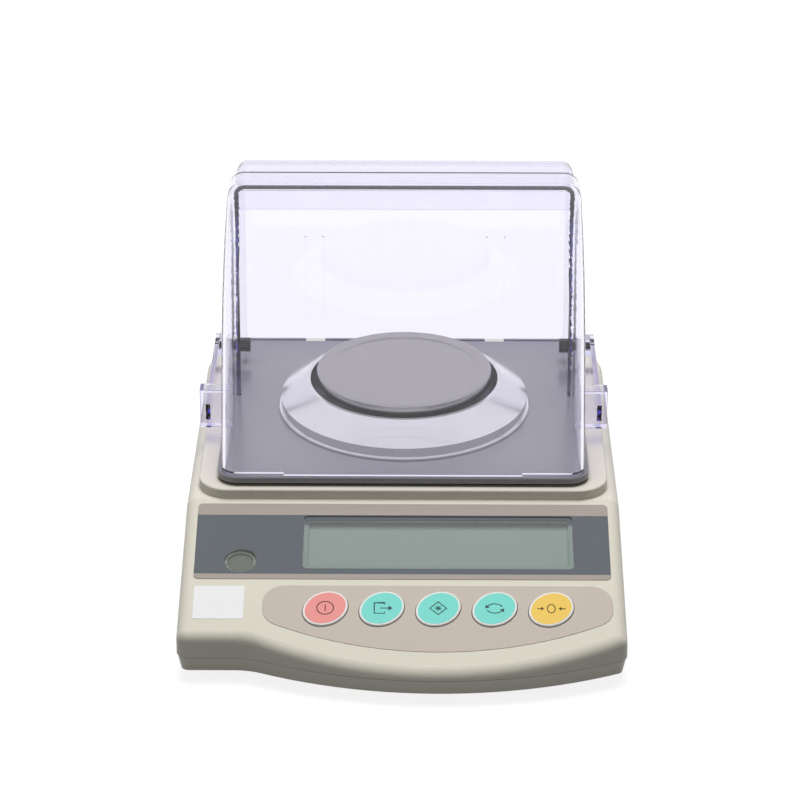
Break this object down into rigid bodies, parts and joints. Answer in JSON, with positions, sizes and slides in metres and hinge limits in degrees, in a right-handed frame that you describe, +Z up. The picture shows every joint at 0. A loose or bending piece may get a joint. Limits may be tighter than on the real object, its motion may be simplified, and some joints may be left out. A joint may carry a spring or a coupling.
{
  "type": "carat balance",
  "caption": "Bench balance for gems and jewellery: sloping deck with keys and display, round pan in a draft ring, and a clear hood whose front half swings up and back.",
  "frame": {"origin": "on the table, under the middle of the case", "axes": "+Z up, the front with the display and keys faces -Y, +X to the right seen from the front"},
  "size_m": [0.182, 0.244, 0.156],
  "materials": {
    "case_plastic": "fine-textured moulded case, warm off-white",
    "overlay": "printed membrane sheet, grey-beige with a slate band",
    "display_window": "clear display window",
    "lcd_glass": "grey-green display glass",
    "dark_plastic": "black moulded plastic",
    "circuit_board": "green circuit board",
    "screw_steel": "plated steel",
    "white_plastic": "white moulded cup",
    "level_fluid": "tinted level fluid in clear plastic",
    "clear_lens": "clear lens",
    "plate_metal": "grey painted plate",
    "clear_plastic": "clear moulded hood with a faint lilac tint",
    "pin_metal": "blackened metal",
    "ring_metal": "bright turned ring",
    "pan_steel": "satin stainless steel",
    "machined_aluminium": "machined aluminium",
    "cast_metal": "cast aluminium",
    "socket_shell": "nickel-plated shell",
    "contact_brass": "gilt contacts",
    "key_plastic": "moulded key cap, coloured field on white",
    "foot_rubber": "black rubber",
    "wheel_plastic": "black moulded foot wheel"
  },
  "bodies": {
    "case": {"upper_case": "case_plastic", "lower_case": "case_plastic", "case_screws": "screw_steel", "display_overlay": "overlay", "display_window": "display_window", "lcd_panel": "lcd_glass", "lcd_frame": "dark_plastic", "key_overlay": "overlay", "key_switches": "dark_plastic", "display_board": "circuit_board", "main_board": "circuit_board", "board_screws": "screw_steel", "board_parts": "dark_plastic", "level_cup": "white_plastic", "level_vial": "level_fluid", "level_window": "clear_lens", "base_plate": "plate_metal", "plate_spacers": "dark_plastic", "rear_shell": "clear_plastic", "pivot_pins": "pin_metal", "pivot_nuts": "screw_steel", "pan_support": "machined_aluminium", "weighing_cell": "machined_aluminium", "cell_bracket": "cast_metal", "cell_screws": "screw_steel", "overload_stop": "screw_steel", "power_inlet": "dark_plastic", "inlet_pin": "pin_metal", "serial_socket": "socket_shell", "serial_pins": "contact_brass", "jackscrews": "screw_steel"},
    "door": {"door": "clear_plastic"},
    "pan": {"pan": "pan_steel"},
    "draft_ring": {"draft_ring": "ring_metal"},
    "key_power": {"key_power": "key_plastic"},
    "key_print": {"key_print": "key_plastic"},
    "key_set": {"key_set": "key_plastic"},
    "key_function": {"key_function": "key_plastic"},
    "key_zero": {"key_zero": "key_plastic"},
    "foot_pad_front_left": {"foot_pad_front_left": "foot_rubber"},
    "foot_pad_front_right": {"foot_pad_front_right": "foot_rubber"},
    "foot_pad_rear_left": {"foot_pad_rear_left": "foot_rubber"},
    "foot_pad_rear_right": {"foot_pad_rear_right": "foot_rubber"},
    "foot_wheel_front_left": {"foot_wheel_front_left": "wheel_plastic"},
    "foot_wheel_front_right": {"foot_wheel_front_right": "wheel_plastic"},
    "foot_wheel_rear_left": {"foot_wheel_rear_left": "wheel_plastic"},
    "foot_wheel_rear_right": {"foot_wheel_rear_right": "wheel_plastic"}
  },
  "joints": [
    {"name": "door_hinge", "type": "hinge", "parent": "case", "child": "door", "pos_m": [0, 0.0845, 0.0624], "axis": [-1, 0, 0], "range_deg": [0, 100]},
    {"name": "pan_lift", "type": "slide", "parent": "case", "child": "pan", "axis": [0, 0, 1], "range_m": [0, 0.03]},
    {"name": "draft_ring_lift", "type": "slide", "parent": "case", "child": "draft_ring", "axis": [0, 0, 1], "range_m": [0, 0.03]},
    {"name": "key_power_press", "type": "slide", "parent": "case", "child": "key_power", "axis": [0, 0.342, -0.9397], "range_m": [0, 0.0006], "stiffness_N_per_m": 1200},
    {"name": "key_print_press", "type": "slide", "parent": "case", "child": "key_print", "axis": [0, 0.342, -0.9397], "range_m": [0, 0.0006], "stiffness_N_per_m": 1200},
    {"name": "key_set_press", "type": "slide", "parent": "case", "child": "key_set", "axis": [0, 0.342, -0.9397], "range_m": [0, 0.0006], "stiffness_N_per_m": 1200},
    {"name": "key_function_press", "type": "slide", "parent": "case", "child": "key_function", "axis": [0, 0.342, -0.9397], "range_m": [0, 0.0006], "stiffness_N_per_m": 1200},
    {"name": "key_zero_press", "type": "slide", "parent": "case", "child": "key_zero", "axis": [0, 0.342, -0.9397], "range_m": [0, 0.0006], "stiffness_N_per_m": 1200},
    {"name": "foot_front_left_extend", "type": "slide", "parent": "case", "child": "foot_pad_front_left", "axis": [0, 0, -1], "range_m": [0, 0.004]},
    {"name": "foot_front_left_turn", "type": "hinge", "parent": "foot_pad_front_left", "child": "foot_wheel_front_left", "pos_m": [-0.0735, -0.084, 0.006], "axis": [0, 0, -1], "range_deg": [0, 1440]},
    {"name": "foot_front_right_extend", "type": "slide", "parent": "case", "child": "foot_pad_front_right", "axis": [0, 0, -1], "range_m": [0, 0.004]},
    {"name": "foot_front_right_turn", "type": "hinge", "parent": "foot_pad_front_right", "child": "foot_wheel_front_right", "pos_m": [0.0735, -0.084, 0.006], "axis": [0, 0, -1], "range_deg": [0, 1440]},
    {"name": "foot_rear_left_extend", "type": "slide", "parent": "case", "child": "foot_pad_rear_left", "axis": [0, 0, -1], "range_m": [0, 0.004]},
    {"name": "foot_rear_left_turn", "type": "hinge", "parent": "foot_pad_rear_left", "child": "foot_wheel_rear_left", "pos_m": [-0.072, 0.092, 0.006], "axis": [0, 0, -1], "range_deg": [0, 1440]},
    {"name": "foot_rear_right_extend", "type": "slide", "parent": "case", "child": "foot_pad_rear_right", "axis": [0, 0, -1], "range_m": [0, 0.004]},
    {"name": "foot_rear_right_turn", "type": "hinge", "parent": "foot_pad_rear_right", "child": "foot_wheel_rear_right", "pos_m": [0.072, 0.092, 0.006], "axis": [0, 0, -1], "range_deg": [0, 1440]}
  ],
  "couplings": [
    {"joint": "foot_front_left_turn", "follows": "foot_front_left_extend", "rad_per_m": 6283.2},
    {"joint": "foot_front_right_turn", "follows": "foot_front_right_extend", "rad_per_m": 6283.2},
    {"joint": "foot_rear_left_turn", "follows": "foot_rear_left_extend", "rad_per_m": 6283.2},
    {"joint": "foot_rear_right_turn", "follows": "foot_rear_right_extend", "rad_per_m": 6283.2}
  ]
}
